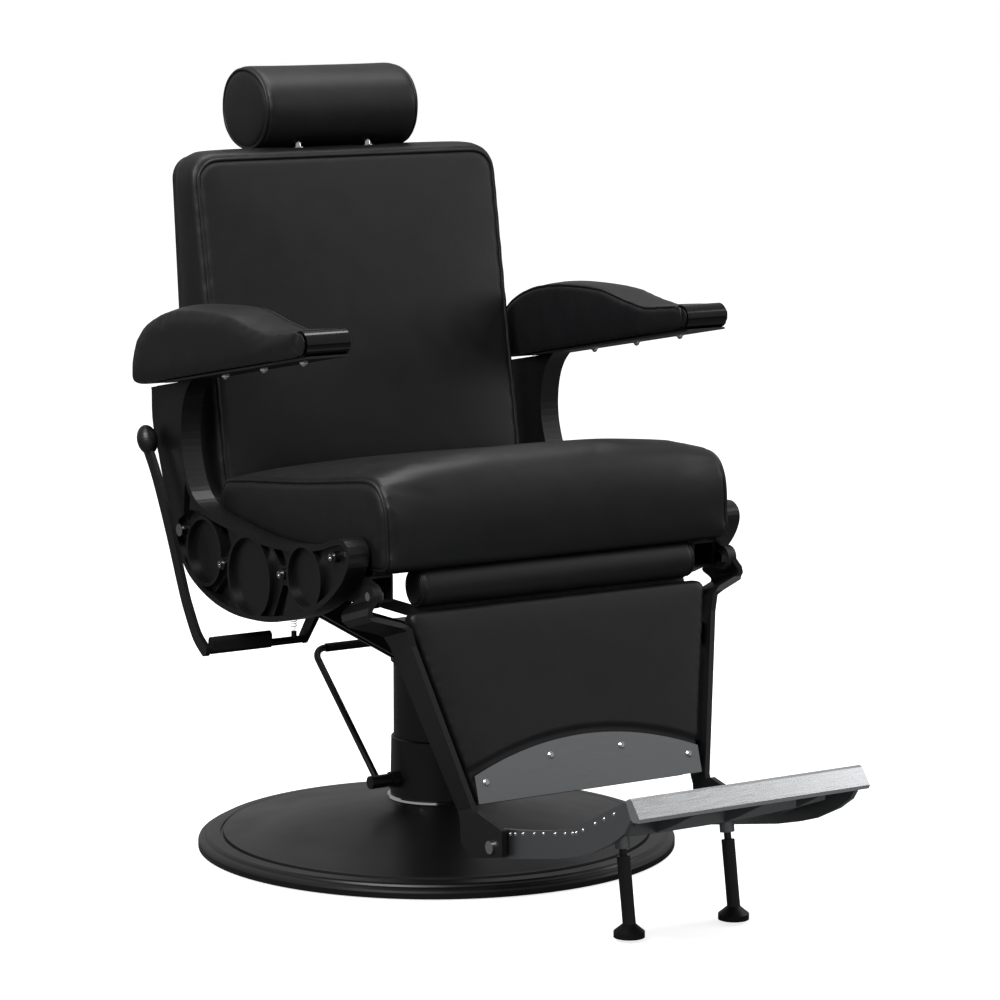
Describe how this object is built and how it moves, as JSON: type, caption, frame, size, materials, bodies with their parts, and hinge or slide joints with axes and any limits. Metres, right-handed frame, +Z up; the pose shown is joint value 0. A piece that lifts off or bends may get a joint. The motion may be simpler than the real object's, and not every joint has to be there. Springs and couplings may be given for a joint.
{
  "type": "barber chair",
  "caption": "Barber chair on a round base with a hydraulic lift, padded black seat, reclining back, sliding headrest, cast side frames and a folding footrest on a swinging leg rest",
  "frame": {"origin": "on the floor under the round base, at the column's axis", "axes": "+Z up, -Y towards the footrest in front, +X to the sitter's left"},
  "size_m": [0.7125, 1.1552, 1.1216],
  "materials": {
    "base_rubber": "matte ribbed rubber",
    "ballast_iron": "bare cast plate",
    "satin_black_metal": "satin black powder coat",
    "cast_black": "satin black paint on a casting",
    "dark_frame_steel": "black welded steel",
    "chrome_trim": "polished chrome",
    "zinc_steel": "zinc plated steel",
    "spring_steel": "zinc plated spring wire",
    "black_rubber": "moulded rubber",
    "plywood": "birch plywood",
    "black_leatherette": "grained black leatherette with piping",
    "moulded_black": "moulded black plastic",
    "gloss_black": "gloss black tube",
    "grey_aluminium": "satin grey aluminium",
    "bright_aluminium": "bright brushed aluminium"
  },
  "bodies": {
    "base": {"floor_pad": "base_rubber", "base_plate": "ballast_iron", "base_cover": "satin_black_metal", "column_jacket": "satin_black_metal", "jacket_ring": "chrome_trim", "column_bolts": "zinc_steel", "pump_cylinder": "zinc_steel"},
    "pump": {"pump_lever": "satin_black_metal", "pump_pedal_sleeve": "black_rubber"},
    "lift": {"lift_column": "satin_black_metal", "lift_ram": "chrome_trim"},
    "seat": {"seat_cradle": "satin_black_metal", "cradle_bolts": "zinc_steel", "seat_frame": "dark_frame_steel", "seat_side_plates": "dark_frame_steel", "seat_board": "plywood", "seat_cushion": "black_leatherette", "side_frame_right": "cast_black", "side_frame_left": "cast_black", "side_frame_bolts": "chrome_trim", "arm_plates": "dark_frame_steel", "arm_pad_right": "black_leatherette", "arm_pad_left": "black_leatherette", "arm_end_right": "moulded_black", "arm_end_left": "moulded_black", "arm_tubes": "gloss_black", "arm_nuts": "chrome_trim", "lever_bracket": "dark_frame_steel", "recline_lock": "dark_frame_steel", "back_pivot_bolts": "chrome_trim", "leg_pivot_bolts": "chrome_trim", "return_spring": "spring_steel"},
    "back": {"back_frame": "dark_frame_steel", "back_board": "plywood", "back_cushion": "black_leatherette", "headrest_guides": "zinc_steel"},
    "headrest": {"headrest_posts": "chrome_trim", "headrest_core": "plywood", "headrest_cushion": "black_leatherette"},
    "lever": {"recline_lever": "satin_black_metal", "lever_knob": "moulded_black", "lever_sleeve": "black_rubber"},
    "legrest": {"leg_strap_right": "satin_black_metal", "leg_strap_left": "satin_black_metal", "leg_crossbars": "dark_frame_steel", "calf_board": "plywood", "calf_pad": "black_leatherette", "calf_roll": "black_leatherette", "guard_plate": "grey_aluminium", "guard_screws": "chrome_trim", "footrest_bolts": "chrome_trim"},
    "linkage": {"link_rods": "dark_frame_steel"},
    "footrest": {"footrest_tray": "grey_aluminium", "footrest_nose": "bright_aluminium", "footrest_studs": "chrome_trim"},
    "support_right": {"support_leg_right": "satin_black_metal", "support_foot_right": "moulded_black"},
    "support_left": {"support_leg_left": "satin_black_metal", "support_foot_left": "moulded_black"}
  },
  "joints": [
    {"name": "pump_swing", "type": "hinge", "parent": "base", "child": "pump", "pos_m": [0, 0, 0.103], "axis": [-1, 0, 0], "range_deg": [0, 25], "stiffness_Nm_per_rad": 20, "springref_deg": -28.65},
    {"name": "seat_lift", "type": "slide", "parent": "base", "child": "lift", "axis": [0, 0, 1], "range_m": [0, 0.13]},
    {"name": "seat_swivel", "type": "hinge", "parent": "lift", "child": "seat", "pos_m": [0, 0, 0.272], "axis": [0, 0, 1], "continuous": true},
    {"name": "recline", "type": "hinge", "parent": "seat", "child": "back", "pos_m": [0, 0.168, 0.469], "axis": [-1, 0, 0], "range_deg": [0, 40]},
    {"name": "headrest_slide", "type": "slide", "parent": "back", "child": "headrest", "axis": [0, 0.1719, 0.9851], "range_m": [0, 0.08]},
    {"name": "lever_pull", "type": "hinge", "parent": "seat", "child": "lever", "pos_m": [-0.184, 0.02, 0.372], "axis": [-1, 0, 0], "range_deg": [0, 12], "stiffness_Nm_per_rad": 25, "springref_deg": -22.92, "deforming": ["return_spring"]},
    {"name": "leg_raise", "type": "hinge", "parent": "seat", "child": "legrest", "pos_m": [0, -0.304, 0.438], "axis": [-1, 0, 0], "range_deg": [0, 56]},
    {"name": "link_turn", "type": "hinge", "parent": "legrest", "child": "linkage", "pos_m": [0, -0.27493, 0.38332], "axis": [-1, 0, 0], "range_deg": [-56, 0]},
    {"name": "footrest_fold", "type": "hinge", "parent": "legrest", "child": "footrest", "pos_m": [0, -0.45, 0.109], "axis": [-1, 0, 0], "range_deg": [0, 60]},
    {"name": "right_leg_screw", "type": "slide", "parent": "footrest", "child": "support_right", "axis": [0, 0.1564, 0.9877], "range_m": [0, 0.009]},
    {"name": "left_leg_screw", "type": "slide", "parent": "footrest", "child": "support_left", "axis": [0, 0.1564, 0.9877], "range_m": [0, 0.009]}
  ],
  "couplings": [
    {"joint": "leg_raise", "follows": "recline", "ratio": 1.4},
    {"joint": "link_turn", "follows": "recline", "ratio": -1.4}
  ]
}
